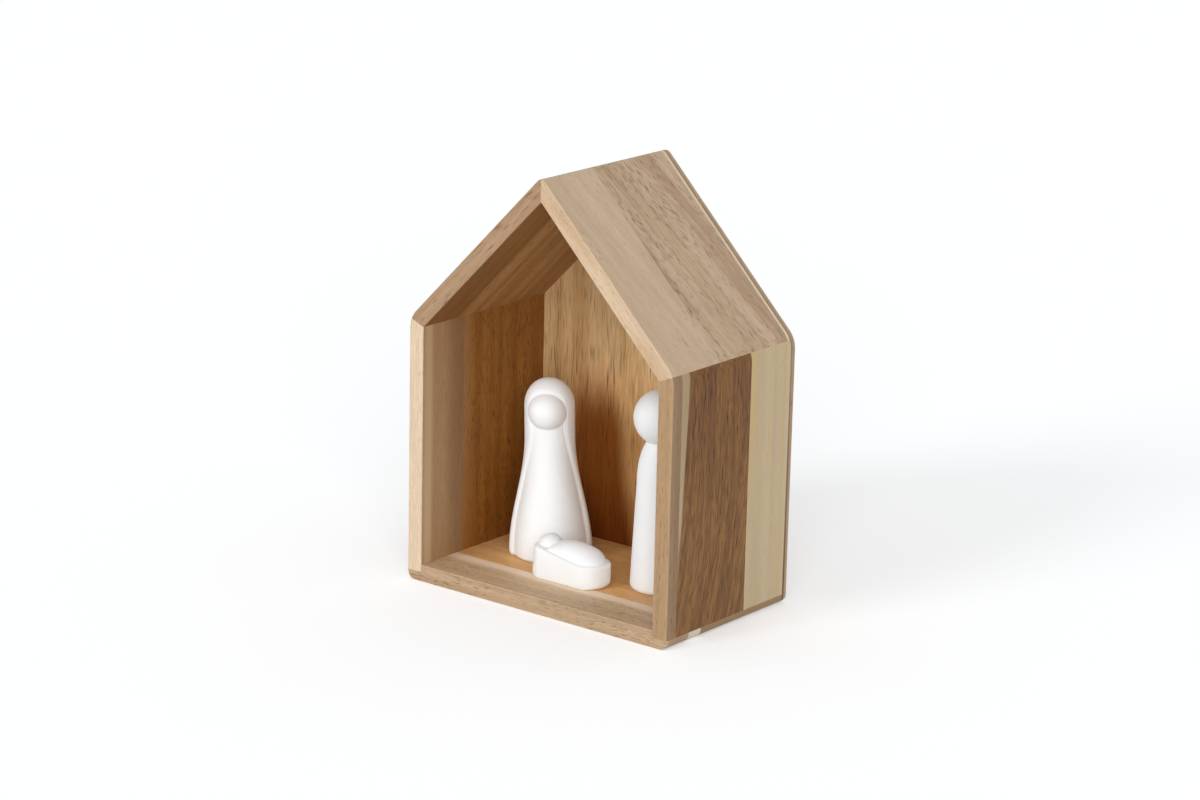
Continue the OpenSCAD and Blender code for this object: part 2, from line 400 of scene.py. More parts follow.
def feed(tree, node, **inputs):
    """Set or link a node's inputs, by name or as in0, in1 by number."""
    for name, value in inputs.items():
        key = name.replace("_", " ")
        socket = node.inputs[int(key[2:]) if key.startswith("in") else key]
        if isinstance(value, bpy.types.NodeSocket):
            tree.links.new(value, socket)
        else:
            socket.default_value = value


def put(tree, kind, settings=None, **inputs):
    """New node with its settings and its inputs."""
    made = tree.nodes.new(kind)
    for name, value in (settings or {}).items():
        setattr(made, name, value)
    feed(tree, made, **inputs)
    return made


def maths(tree, operation, a, b=0.0, c=0.0, clamp=False):
    """One sum on numbers or sockets, as an output socket."""
    settings = {"operation": operation, "use_clamp": clamp}
    return put(tree, "ShaderNodeMath", settings, in0=a, in1=b, in2=c).outputs[0]


def swing(tree, value, amount, middle=0.0):
    """Middle + amount (value - 0.5), as an output socket."""
    return maths(tree, "MULTIPLY_ADD", maths(tree, "SUBTRACT", value, 0.5), amount, middle)


def between(tree, value, low, high, to_low=0.0, to_high=1.0):
    """Smooth step of a value from low to high, as an output socket."""
    made = put(
        tree, "ShaderNodeMapRange", {"interpolation_type": "SMOOTHSTEP"},
        Value=value, From_Min=low, From_Max=high, To_Min=to_low, To_Max=to_high,
    )
    return made.outputs["Result"]


def mix(tree, share, a, b, blend="MIX"):
    """Blend of two colours, whose sockets on the node are 0, 6 and 7 in and 2 out."""
    settings = {"data_type": "RGBA", "blend_type": blend}
    return put(tree, "ShaderNodeMix", settings, in0=share, in6=a, in7=b).outputs[2]


def noise(tree, vector, along, across, detail=2.0, roughness=0.5):
    """Noise with a length along X and a width across it, as an output from 0 to 1."""
    sizes = put(tree, "ShaderNodeCombineXYZ", X=along, Y=across, Z=across).outputs[0]
    place = put(tree, "ShaderNodeVectorMath", {"operation": "DIVIDE"}, in0=vector, in1=sizes)
    made = put(
        tree, "ShaderNodeTexNoise", Vector=place.outputs[0], Scale=1.0, Detail=detail,
        Roughness=roughness,
    )
    return made.outputs[0]


def in_millimetres(tree, place, turn=(0.0, 0.0, 0.0)):
    """The object's place in millimetres, turned by degrees about each axis."""
    rotation = tuple(math.radians(angle) for angle in turn)
    scale = (1 / MM, 1 / MM, 1 / MM)
    return put(
        tree, "ShaderNodeMapping", Vector=place, Rotation=rotation, Scale=scale,
    ).outputs[0]


def new_material(name):
    """A material with its node tree and its shader."""
    material = bpy.data.materials.new(name)
    material.use_nodes = True
    return material, material.node_tree, material.node_tree.nodes["Principled BSDF"]


def group_with(name, inputs, outputs):
    """Empty shader group with named sockets: (tree, input sockets, output node)."""
    tree = bpy.data.node_groups.new(name, "ShaderNodeTree")
    for socket, kind, value in inputs:
        made = tree.interface.new_socket(socket, in_out="INPUT", socket_type=kind)
        if value is not None:
            made.default_value = value
    for socket, kind in outputs:
        tree.interface.new_socket(socket, in_out="OUTPUT", socket_type=kind)
    inside = tree.nodes.new("NodeGroupInput")
    return tree, inside.outputs, tree.nodes.new("NodeGroupOutput")


NUMBER, COLOUR, VECTOR = "NodeSocketFloat", "NodeSocketColor", "NodeSocketVector"


# The wood's figure, with each size as (along the grain, across it)

bend_size = (55.0, 16.0)
band_length = 260.0
band_edges = (0.36, 0.64)
cloud_size = (30.0, 11.0)
fibre_size = (7.0, 0.55)
fibre_height = 0.35
patch_size = (70.0, 7.0)
patch_edges = (0.4, 0.62)
pore_level = 0.71
pore_level_drop = 0.20
pore_sharpness = 6.0
pore_strength = 0.72
waver_size = (22.0, 9.0)
oiled_rough = 0.44
fibre_rough = 0.12
pore_rough = 0.14


def make_grain_group():
    """Oiled wood with its grain along X, in millimetres.

    Slow noise bends the grain. Bands mix the pale and deep colours across it, clouds and
    fibres change the brightness, and pores are long thin noise cut off at a level that
    patches raise and lower.
    """
    tree, given, out = group_with(
        "wood_grain",
        [
            ("Vector", VECTOR, None), ("Pale", COLOUR, None), ("Deep", COLOUR, None),
            ("Band Width", NUMBER, 6.0), ("Bands", NUMBER, 0.6), ("Wander", NUMBER, 1.0),
            ("Clouds", NUMBER, 0.15), ("Fibres", NUMBER, 0.4),
            ("Pore Colour", COLOUR, None), ("Pore Length", NUMBER, 6.0),
            ("Pore Width", NUMBER, 0.45), ("Pores", NUMBER, 0.4), ("Patches", NUMBER, 0.5),
        ],
        [("Color", COLOUR), ("Roughness", NUMBER), ("Height", NUMBER)],
    )
    bend = noise(tree, given["Vector"], *bend_size, detail=1.0)
    shift = swing(tree, bend, given["Wander"])
    sideways = put(tree, "ShaderNodeCombineXYZ", X=0.0, Y=shift, Z=shift).outputs[0]
    grain = put(
        tree, "ShaderNodeVectorMath", {"operation": "ADD"}, in0=given["Vector"], in1=sideways,
    ).outputs[0]

    band = noise(tree, grain, band_length, given["Band Width"], detail=3.0, roughness=0.6)
    band = maths(tree, "MULTIPLY", between(tree, band, *band_edges), given["Bands"])
    colour = mix(tree, band, given["Pale"], given["Deep"])

    cloud = noise(tree, grain, *cloud_size)
    fibre = noise(tree, grain, *fibre_size, detail=1.0)
    light = swing(tree, fibre, given["Fibres"], swing(tree, cloud, given["Clouds"], 1.0))
    colour = put(
        tree, "ShaderNodeVectorMath", {"operation": "SCALE"}, in0=colour, Scale=light,
    ).outputs[0]

    pore = noise(tree, grain, given["Pore Length"], given["Pore Width"], detail=0.5)
    patch = between(tree, noise(tree, grain, *patch_size), *patch_edges)
    even = maths(tree, "SUBTRACT", 1.0, given["Patches"])
    cover = maths(tree, "MULTIPLY_ADD", patch, given["Patches"], even)
    cover = maths(tree, "MULTIPLY", cover, given["Pores"])
    level = maths(tree, "MULTIPLY_ADD", cover, -pore_level_drop, pore_level)
    over = maths(tree, "SUBTRACT", pore, level)
    mark = maths(tree, "MULTIPLY", over, pore_sharpness, clamp=True)
    strength = maths(tree, "MULTIPLY", mark, pore_strength)
    colour = mix(tree, strength, colour, given["Pore Colour"])

    height = maths(tree, "SUBTRACT", maths(tree, "MULTIPLY", fibre, fibre_height), mark)
    rough = maths(tree, "MULTIPLY_ADD", fibre, fibre_rough, oiled_rough)
    rough = maths(tree, "MULTIPLY_ADD", mark, pore_rough, rough)
    feed(tree, out, Color=colour, Roughness=rough, Height=height)
    return tree


def make_streak_group():
    """Soft band along the grain: its mask is 1 within its half width of the centre line. It
    makes the wood's own stripes, and also painted shade and a painted shadow.

    The centre line is centre + drift X and wanders with slow noise, the half width grows
    by widening X, and the band fades between two places along the grain.
    """
    tree, given, out = group_with(
        "streak",
        [
            ("Vector", VECTOR, None), ("Centre", NUMBER, 0.0), ("Half Width", NUMBER, 2.0),
            ("Softness", NUMBER, 1.0), ("Wander", NUMBER, 1.0),
            ("Drift", NUMBER, 0.0), ("Widening", NUMBER, 0.0),
            ("Faded At", NUMBER, -1000.0), ("Full At", NUMBER, -999.0),
        ],
        [("Mask", NUMBER)],
    )
    place = put(tree, "ShaderNodeSeparateXYZ", Vector=given["Vector"]).outputs
    waver = swing(tree, noise(tree, given["Vector"], *waver_size), given["Wander"])
    line = maths(tree, "MULTIPLY_ADD", place["X"], given["Drift"], given["Centre"])
    off = maths(tree, "ADD", maths(tree, "SUBTRACT", place["Y"], line), waver)
    half = maths(tree, "MULTIPLY_ADD", place["X"], given["Widening"], given["Half Width"])
    past = maths(tree, "SUBTRACT", maths(tree, "ABSOLUTE", off), half)
    body = between(tree, past, 0.0, given["Softness"], 1.0, 0.0)
    fade = between(tree, place["X"], given["Faded At"], given["Full At"])
    feed(tree, out, Mask=maths(tree, "MULTIPLY", body, fade))
    return tree


# Wear of the sanded edges

wear_size = (3.0, 1.2)
wear_edges = (0.3, 0.7)
least_wear = 0.1
broken_wear = 0.3
worn_rough = 0.12
worn_paler = 0.12


def make_wear_group():
    """Wear along sanded edges: paler and rougher, broken up by noise."""
    tree, given, out = group_with(
        "edge_wear",
        [
            ("Vector", VECTOR, None), ("Color", COLOUR, None), ("Roughness", NUMBER, 0.5),
            ("Wear", NUMBER, 0.0), ("Worn Colour", COLOUR, None),
        ],
        [("Color", COLOUR), ("Roughness", NUMBER)],
    )
    broken = between(tree, noise(tree, given["Vector"], *wear_size), *wear_edges)
    share = maths(tree, "MULTIPLY_ADD", broken, broken_wear, least_wear)
    mask = maths(tree, "MULTIPLY", given["Wear"], share)
    colour = mix(tree, mask, given["Color"], given["Worn Colour"])
    rough = maths(tree, "MULTIPLY_ADD", mask, worn_rough, given["Roughness"])
    feed(tree, out, Color=colour, Roughness=rough)
    return tree


grain_group = {"node_tree": make_grain_group()}
streak_group = {"node_tree": make_streak_group()}
wear_group = {"node_tree": make_wear_group()}


# Woods, with the turns in degrees that bring each side's grain to X and its width to Y

grain_turns = {
    "base": (0.0, 0.0, 0.0), "left_wall": (0.0, 90.0, 0.0), "right_wall": (0.0, 90.0, 0.0),
    "left_roof": (0.0, pitch_deg, 0.0), "right_roof": (0.0, -pitch_deg, 0.0),
    "back": (90.0, 0.0, 90.0),
}
seed_step = (137.0, 31.0, 17.0)
whole_board = 80.0
oil_ior = 1.46
oil_specular = 0.35
wood_bump = 0.25
wood_relief = 0.15


def wood(node, turn, seed, pale, deep, pore, streaks=(), front=None, front_at=front_y,
         front_reach=0.3, slope=0.0, straight_at=200.0, **grain):
    """One board's material, from tones in display values.

    The mapping turns the object's place so that X runs along the grain. The grain lines
    lean by the slope at X = 0 and are straight from straight_at on, so Y becomes
    Y - slope (X - X X / (2 straight_at)) up to there. Front is the pale and deep tone of
    the face at the depth front_at, which fade out around front_reach behind it. Each mark
    in streaks is (tone, strength, blend, inputs), and their places are
    read before the seed is added, in millimetres from the origin. Some marks are stripes
    of the wood's own colour; others are painted shade and a painted shadow, where the
    board lies in shade.
    """
    name = re.sub("_(strip|board|veneer)$", "", node) + "_wood"
    material, tree, shader = new_material(name)
    place = tree.nodes.new("ShaderNodeTexCoord").outputs["Object"]
    along = in_millimetres(tree, place, turn)
    bent = along
    if slope:
        at = put(tree, "ShaderNodeSeparateXYZ", Vector=along).outputs
        leaning = maths(tree, "MINIMUM", at["X"], straight_at)
        curve = maths(tree, "MULTIPLY_ADD", leaning, slope / (2 * straight_at), -slope)
        lower = maths(tree, "MULTIPLY_ADD", leaning, curve, at["Y"])
        bent = put(tree, "ShaderNodeCombineXYZ", X=at["X"], Y=lower, Z=at["Z"]).outputs[0]
    start = tuple(seed * step for step in seed_step)
    grained = put(tree, "ShaderNodeMapping", Vector=bent, Location=start).outputs[0]
    tones = [srgb(*pale), srgb(*deep)]
    if front:
        depth = put(tree, "ShaderNodeSeparateXYZ", Vector=place).outputs["Y"]
        near, past = front_at + front_reach / 2, front_at + front_reach * 3 / 2
        edge_mask = between(tree, depth, near * MM, past * MM, 1.0, 0.0)
        tones = [mix(tree, edge_mask, tone, srgb(*edge)) for tone, edge in zip(tones, front)]
    board = put(
        tree, "ShaderNodeGroup", grain_group, Vector=grained, Pale=tones[0], Deep=tones[1],
        Pore_Colour=srgb(*pore), **grain,
    )
    colour = board.outputs["Color"]
    for tone, strength, blend, inputs in streaks:
        mask = put(tree, "ShaderNodeGroup", streak_group, Vector=along, **inputs).outputs[0]
        mask = maths(tree, "MULTIPLY", mask, strength)
        colour = mix(tree, mask, colour, srgb(*tone), blend)
    wear = tree.nodes.new("ShaderNodeAttribute")
    wear.attribute_name = "wear"
    worn = tuple(tone + worn_paler * (1 - tone) for tone in srgb(*pale))
    edge = put(
        tree, "ShaderNodeGroup", wear_group, Vector=along, Color=colour,
        Roughness=board.outputs["Roughness"], Wear=wear.outputs["Fac"], Worn_Colour=worn,
    )
    relief = put(
        tree, "ShaderNodeBump", Height=board.outputs["Height"], Strength=wood_bump,
        Distance=wood_relief * MM,
    )
    feed(
        tree, shader, Base_Color=edge.outputs["Color"], Roughness=edge.outputs["Roughness"],
        Normal=relief.outputs[0], IOR=oil_ior, Specular_IOR_Level=oil_specular,
    )
    return material


def streak(tone, strength, blend="MIX", **inputs):
    """A mark's tone, strength, blend and inputs, for the wood's own stripes and for painted
    shade alike.
    """
    return tone, strength, blend, inputs


def shade(tone, **inputs):
    """A tone that multiplies the whole board, so that its grain stays. On the back panel and
    the left wall it is painted shade, darker towards the bottom; on the right wall's middle
    board it darkens the top.
    """
    return streak(tone, 1.0, "MULTIPLY", Half_Width=whole_board, Wander=0.0, **inputs)


# Looks of the boards, whose place in this order is their seed

board_woods = {
    "base_front_strip": dict(
        pale=(209, 180, 143), deep=(182, 147, 112), pore=(122, 90, 62), Pores=0.8,
        Pore_Length=3.5, Patches=0.6, Wander=3.0, Clouds=0.2,
        front=((187, 160, 128), (161, 129, 98)),
        streaks=[
            streak((243, 218, 190), 0.95, Centre=-21.5, Half_Width=2.5, Softness=5.0,
                   Wander=2.0),
            streak((222, 212, 190), 0.9, Centre=-24.0, Half_Width=5.0, Softness=0.4,
                   Faded_At=68.0, Full_At=71.0),
            streak((150, 124, 100), 0.6, Centre=-36.0, Half_Width=7.0, Softness=0.6,
                   Faded_At=68.0, Full_At=71.0),
        ],
    ),
    "base_rear_board": dict(
        pale=(225, 178, 119), deep=(209, 154, 96), pore=(140, 92, 52), Band_Width=9.0,
        Pores=0.35, Pore_Width=0.5,
        streaks=[
            streak((140, 115, 85), 0.85, Half_Width=whole_board, Wander=0.0,
                   Faded_At=69.0, Full_At=71.0),
        ],
    ),
    "left_wall_front_strip": dict(
        pale=(173, 137, 100), deep=(154, 119, 79), pore=(112, 76, 46), Band_Width=8.0,
        Bands=0.4, Pores=0.0, Pore_Length=4.0, Fibres=0.45, Clouds=0.08,
        front=((223, 200, 173), (213, 189, 157)),
        streaks=[
            streak((204, 174, 138), 0.8, Centre=-41.0, Half_Width=0.8, Softness=4.0),
            streak((214, 206, 196), 1.0, "MULTIPLY", Centre=-16.5, Softness=12.0,
                   Wander=2.0),
        ],
    ),
    "left_wall_rear_board": dict(
        pale=(155, 105, 48), deep=(130, 83, 32), pore=(84, 44, 16), Band_Width=8.0,
        Bands=0.7, Pores=0.8, Pore_Length=4.0, Patches=0.4, Clouds=0.35, Wander=3.0,
        Fibres=0.6,
        streaks=[
            streak((166, 128, 92), 0.5, Centre=-16.5, Half_Width=0.0, Softness=8.0,
                   Wander=2.0),
            # painted shade: the wall's inner face darkens towards the floor
            shade((238, 224, 186), Faded_At=90.0, Full_At=20.0),
        ],
    ),
    "right_wall_front_strip": dict(
        pale=(155, 125, 93), deep=(138, 107, 77), pore=(96, 66, 44), Band_Width=3.0,
        Bands=0.5, Pores=0.5, Pore_Width=0.5, Pore_Length=5.0,
        front=((177, 144, 107), (156, 123, 87)),
    ),
    "right_wall_middle_board": dict(
        pale=(146, 103, 53), deep=(119, 78, 35), pore=(48, 26, 12), Band_Width=2.6,
        Bands=0.9, Pores=0.95, Pore_Length=9.0, Pore_Width=0.42, Patches=0.2, Wander=5.0,
        Clouds=0.3, Fibres=1.1, slope=0.3, straight_at=80.0,
        streaks=[
            streak((200, 182, 150), 0.8, Centre=-39.4, Half_Width=-0.7, Softness=0.9,
                   Faded_At=24.0, Full_At=62.0, Drift=0.028, Widening=0.028),
            shade((236, 228, 214), Faded_At=40.0, Full_At=100.0),
        ],
    ),
    "right_wall_rear_board": dict(
        pale=(202, 182, 149), deep=(192, 167, 128), pore=(190, 158, 104), Bands=0.5,
        Pores=0.45, Pore_Length=5.0, Pore_Width=0.5, Clouds=0.12, Fibres=0.2,
        streaks=[
            streak((212, 176, 104), 0.55, Centre=13.5, Half_Width=0.6, Softness=1.8,
                   Wander=1.5, Faded_At=40.0, Full_At=100.0),
            streak((206, 170, 98), 0.55, Centre=37.0, Half_Width=0.1, Wander=1.2),
            streak((206, 172, 104), 0.4, Centre=27.0, Half_Width=0.1, Wander=2.5,
                   Faded_At=50.0, Full_At=90.0),
        ],
    ),
    "left_roof_front_board": dict(
        pale=(152, 105, 54), deep=(119, 76, 34), pore=(96, 66, 42), Bands=0.5, Pores=0.65,
        Pore_Width=0.42, Patches=0.4, front=((173, 141, 109), (147, 115, 85)),
        streaks=[
            streak((128, 78, 50), 0.6, Centre=-45.0, Half_Width=0.3, Softness=0.5,
                   Wander=0.0, Faded_At=-20.0, Full_At=-70.0),
        ],
    ),
    "left_roof_rear_board": dict(
        pale=(184, 137, 86), deep=(144, 99, 56), pore=(104, 66, 36), Band_Width=7.0,
        Pores=0.6, Pore_Width=0.5,
    ),
    "right_roof_front_board": dict(
        pale=(205, 180, 152), deep=(196, 169, 139), pore=(150, 118, 90), Band_Width=8.0,
        Bands=0.8, Pores=0.5, Pore_Length=3.5, Pore_Width=0.5, Patches=0.7, Clouds=0.18,
        Fibres=0.3, slope=0.1, front=((214, 188, 157), (193, 162, 128)),
    ),
    "right_roof_rear_board": dict(
        pale=(201, 175, 146), deep=(174, 144, 113), pore=(112, 78, 54), Band_Width=7.0,
        Bands=0.9, Pores=0.9, Pore_Length=4.0, Pore_Width=0.55, Patches=0.55, Wander=5.0,
        Clouds=0.2, slope=0.12,
    ),
    "right_roof_edge_strip": dict(
        pale=(222, 206, 178), deep=(212, 190, 158), pore=(150, 118, 84), Bands=0.4,
        Pores=0.1,
    ),
    "back_inner_veneer": dict(
        pale=(158, 130, 100), deep=(142, 113, 84), pore=(104, 66, 36), Band_Width=9.0,
        Pores=0.8, Pore_Length=13.0, Pore_Width=0.42, Clouds=0.2, Fibres=0.6,
        front=((232, 195, 143), (199, 152, 97)), front_at=panel_y, front_reach=0.02,
        streaks=[
            # painted shade: the panel darkens below the height of the figures
            shade((220, 204, 184), Faded_At=115.0, Full_At=50.0),
            # painted shadow of the veiled figure on the panel behind it, narrowing upwards and
            # fading out above it
            streak((182, 140, 86), 1.0, "MULTIPLY", Centre=-34.0, Half_Width=19.0,
                   Softness=10.0, Wander=3.0, Faded_At=98.0, Full_At=62.0,
                   Widening=-0.16),
            # more painted shade, darker still near the floor
            shade((218, 196, 148), Faded_At=45.0, Full_At=5.0),
        ],
    ),
    "back_core": dict(
        pale=(180, 154, 124), deep=(164, 137, 107), pore=(92, 62, 40), Pores=0.3,
    ),
    "back_outer_veneer": dict(
        pale=(192, 160, 124), deep=(164, 130, 96), pore=(104, 68, 40), Band_Width=9.0,
        Bands=0.7, Pores=0.7, Pore_Length=8.0, Pore_Width=0.5,
        front=((206, 178, 146), (190, 160, 128)), front_at=rear_y - 0.1, front_reach=0.05,
    ),
}


# Ceramic

ceramic_tones = ((243, 246, 249), (247, 250, 253))
ceramic_cloud = 9.0
tooth_size = 1 / 3
tooth_relief = 0.06
tooth_bump = 0.08
ceramic_rough = 0.5
tooth_rough = 0.12
ceramic_specular = 0.3
light_inside = 0.6
light_depth = 5.0


def ceramic():
    """Unglazed white ceramic: a fine tooth, faint clouds and matt roughness."""
    material, tree, shader = new_material("white_ceramic")
    place = in_millimetres(tree, tree.nodes.new("ShaderNodeTexCoord").outputs["Object"])
    cloud = noise(tree, place, ceramic_cloud, ceramic_cloud, detail=3.0)
    tooth = noise(tree, place, tooth_size, tooth_size)
    colour = mix(tree, cloud, *(srgb(*tone) for tone in ceramic_tones))
    rough = maths(tree, "MULTIPLY_ADD", tooth, tooth_rough, ceramic_rough)
    relief = put(
        tree, "ShaderNodeBump", Height=tooth, Strength=tooth_bump, Distance=tooth_relief * MM,
    )
    feed(
        tree, shader, Base_Color=colour, Roughness=rough, Normal=relief.outputs[0],
        Specular_IOR_Level=ceramic_specular, Subsurface_Weight=light_inside,
        Subsurface_Radius=WHITE[:3], Subsurface_Scale=light_depth * MM,
    )
    return material


# Front views of the boards

foot_centre = np.array([-half_w + foot_r, foot_r])
eave_drop = eave_r * math.tan(math.radians(eave_turn / 2))
eave_centre = np.array([-half_w + eave_r, eave_h - eave_drop])
ridge_centre = np.array([0.0, ridge_h - ridge_r / math.cos(pitch)])


def base_view():
    """Front view of the base, with a rabbet at each end for a wall's foot."""
    left = arc(foot_centre, foot_r, 180, 270)
    right = arc(foot_centre * MIRROR, foot_r, 270, 360)
    return front_view([
        (left, 1), (right, 1), ([half_w, foot_t], 0), ([inner_half_w, foot_t], 0),
        ([inner_half_w, base_top], 1), ([-inner_half_w, base_top], 0),
        ([-inner_half_w, foot_t], 0), ([-half_w, foot_t], 1),
    ])


def wall_view():
    """Front view of the left wall, whose foot stands in the rabbet of the base."""
    eave = arc(eave_centre, eave_r, 180, 180 - eave_turn / 2, arc_steps // 2)
    return front_view([
        ([-inner_half_w, foot_t], 0), ([-half_w, foot_t], 1), (eave[:-1], 1), (eave[-1], 0),
        ([-inner_half_w, inner_eave_h], 1),
    ])


def roof_view():
    """Front view of the left roof, mitred at the eave and the ridge."""
    eave = arc(eave_centre, eave_r, 180 - eave_turn / 2, 180 - eave_turn, arc_steps // 2)
    ridge = arc(ridge_centre, ridge_r, 90 + pitch_deg, 90, arc_steps // 2)
    return front_view([
        ([-inner_half_w, inner_eave_h], 0), (eave, 1), (ridge[:-1], 1), (ridge[-1], 0),
        ([0.0, inner_ridge_h], 1),
    ])


def house_view():
    """Front view of the whole stable."""
    foot = arc(foot_centre, foot_r, 270, 180)
    eave = arc(eave_centre, eave_r, 180, 180 - eave_turn)
    ridge = arc(ridge_centre, ridge_r, 90 + pitch_deg, 90 - pitch_deg)
    return front_view([
        (foot, 1), (eave, 1), (ridge, 1), (eave[::-1] * MIRROR, 1), (foot[::-1] * MIRROR, 1),
    ])


def make_stable():
    """Every board and layer of the stable, each from its front view, depth and wood."""
    wall, roof = wall_view(), roof_view()
    views = {
        "base": base_view(), "left_wall": wall, "right_wall": mirrored(wall),
        "left_roof": roof, "right_roof": mirrored(roof), "back": house_view(),
    }
    for seed, (node, looks) in enumerate(board_woods.items(), 1):
        side = next(name for name in views if node.startswith(name))
        low, high = span(node)
        y0, y1 = low[1], high[1]
        if side == "back":
            stations = panel_layer(y0, y1)
        elif y0 < front_y + sanded_r:
            stations = sanded_front(y0, y1)
        else:
            stations = plain_board(y0, y1)
        material = wood(node, grain_turns[side], seed, **looks)
        loft(node, views[side], stations, material)


# Veiled figure, with its opening and dress given at heights

veiled_place = (-34.0, 8.6, span("veiled_figure")[0][2])
veiled_turn = math.radians(37.0)
veiled_lean = 0.0257
flare_r = 19.45
waist_h = 57.0
waist_r = 11.68
dome_h = 71.0
dome_rise = 13.2
dome_power = 2.1
hem_r = 2.0
face_h = 70.3
face_forward = 6.5
face_aside = math.radians(-6.5)
face_r = 8.9
face_fillet = 0.4
face_opening = (9.6, 10.3)
opening_fillet = 3.0
opening_heights = [0.0, 8.0, 16.0, 25.0, 34.0, 41.0, 47.0, 54.0, 61.0, 68.0]
opening_angles = [72.0, 74.0, 76.5, 77.5, 75.5, 70.0, 61.5, 50.0, 41.0, 38.0]
rim_roll = 0.45
rim_roll_w = 1.3
rim_wall = (-0.7, 0.05)
dress_heights = [0.0, 30.0, 45.0, 60.0, 69.0, 78.0]
dress_insets = [2.0, 1.9, 1.7, 1.3, 1.5, 1.6]
dress_forwards = [1.4, 1.3, 1.1, 0.7, 0.4, 0.2]
low_spine_h = 4.0
high_spine_h = 46.0
veiled_knots = [
    (low_spine_h, -90.0, 8), (low_spine_h, -16.0, 28), (low_spine_h, 0.0, 110),
    (high_spine_h, 0.0, 50), (face_h, -30.0, 120), (face_h, 90.0, 0),
]
veiled_columns = 264
climb_steps = 2000


def veil_radius(z):
    """Outer radius at a height: half a cosine wave from hem to waist, straight, a dome.

    The flare is waist + (flare - waist) (1 + cos(pi z / waist height)) / 2. The dome is a
    superellipse, and the hem is rounded by a quarter circle.
    """
    low = np.clip(z, 0, waist_h)
    flare = waist_r + (flare_r - waist_r) * (1 + np.cos(np.pi * low / waist_h)) / 2
    rise = np.clip((z - dome_h) / dome_rise, 0, 1)
    dome = waist_r * (1 - rise ** dome_power) ** (1 / dome_power)
    radius = np.where(z < dome_h, flare, dome)
    foot = np.clip(hem_r - z, 0, hem_r)
    radius = radius - hem_r + np.sqrt(hem_r ** 2 - foot ** 2)
    return np.where((z < 0) | (z > dome_h + dome_rise), 0.0, radius)


def climb(z):
    """Length of the veil's upright profile from its foot to a height, summed in steps."""
    heights = np.linspace(0, dome_h + dome_rise, climb_steps)
    step = np.hypot(np.diff(heights), np.diff(veil_radius(heights)))
    return np.interp(z, heights, np.concatenate([[0.0], np.cumsum(step)]))


def veil_opening(azimuth, z):
    """Distance along the veil of a place outside its opening, in millimetres.

    Below the face it is the distance across to the rim, whose angle changes with height,
    and round the face it is the distance to an ellipse laid on the veil. The lesser one
    counts, rounded where they meet.
    """
    radius = veil_radius(z)
    rim = np.radians(np.interp(z, opening_heights, opening_angles))
    skirt = radius * (np.abs(azimuth) - rim)
    skirt = np.where(z > face_h, np.maximum(skirt, z - face_h), skirt)
    across = radius * (azimuth - face_aside) / face_opening[0]
    up = (climb(z) - climb(face_h)) / face_opening[1]
    arch = (np.hypot(across, up) - 1) * face_opening[0]
    return -join(-skirt, -arch, opening_fillet)


def make_veiled_figure(material):
    """Rays from an upright spine end on the veil, or on the dress within its opening.

    The dress is a smaller turned form moved forward, so that its groove beside the rim is
    deeper than at the front. The rim leans in over a narrow band, and the blank face ball
    joins the rest with a small fillet.
    """
    height, tilt, azimuth = ray_fan(veiled_knots, veiled_columns)
    veil = reach_of_turned(height, tilt, azimuth, veil_radius, np.zeros_like)
    dress = reach_of_turned(
        height, tilt, azimuth,
        lambda z: veil_radius(z) - np.interp(z, dress_heights, dress_insets),
        lambda z: np.interp(z, dress_heights, dress_forwards),
    )
    outside = veil_opening(azimuth, height + veil * np.sin(tilt))
    rim = veil - rim_roll * (1 - ease(0.0, rim_roll_w, outside))
    reach = rim + (dress - rim) * (1 - ease(*rim_wall, outside))
    ball = reach_of_ball(height, tilt, azimuth - face_aside, face_forward, face_h, face_r)
    reach = join(reach, ball, face_fillet)
    points = standing_points(
        azimuth + veiled_turn, reach * np.cos(tilt), height + reach * np.sin(tilt),
        veiled_place, veiled_lean,
    )
    closed_grid("veiled_figure", points, material, "veiled_adult")


# Standing figure

standing_low, standing_high = span("standing_figure")
standing_place = (*(standing_low + standing_high)[:2] / 2, standing_low[2])
standing_lean = 0.0216
coat_foot_r = 14.4
coat_hem_r = 2.4
chest_h = 50.0
chest_r = 11.2
shoulder_h = 23.5
head_h = 79.8
head_r = 12.8
neck_fillet = 0.6
neck_band = 5.0
sole_rings = 8
hem_rings = 9
coat_rings = 40
shoulder_rings = 24
ball_rings = 70
standing_columns = 220


def standing_radius(z):
    """Radius at a height: a straight taper, a quarter ellipse, and the ball of the head.

    The hem is rounded by a quarter circle, and the greater of coat and ball counts.
    """
    taper = chest_r + (coat_foot_r - chest_r) * (1 - np.clip(z, 0, chest_h) / chest_h)
    rise = np.clip((z - chest_h) / shoulder_h, 0, 1)
    coat = np.where(z < chest_h, taper, chest_r * np.sqrt(1 - rise ** 2))
    foot = np.clip(coat_hem_r - z, 0, coat_hem_r)
    coat = coat - coat_hem_r + np.sqrt(coat_hem_r ** 2 - foot ** 2)
    ball = np.sqrt(np.maximum(head_r ** 2 - (z - head_h) ** 2, 0))
    return np.where(z > chest_h + shoulder_h, ball, join(coat, ball, neck_fillet))


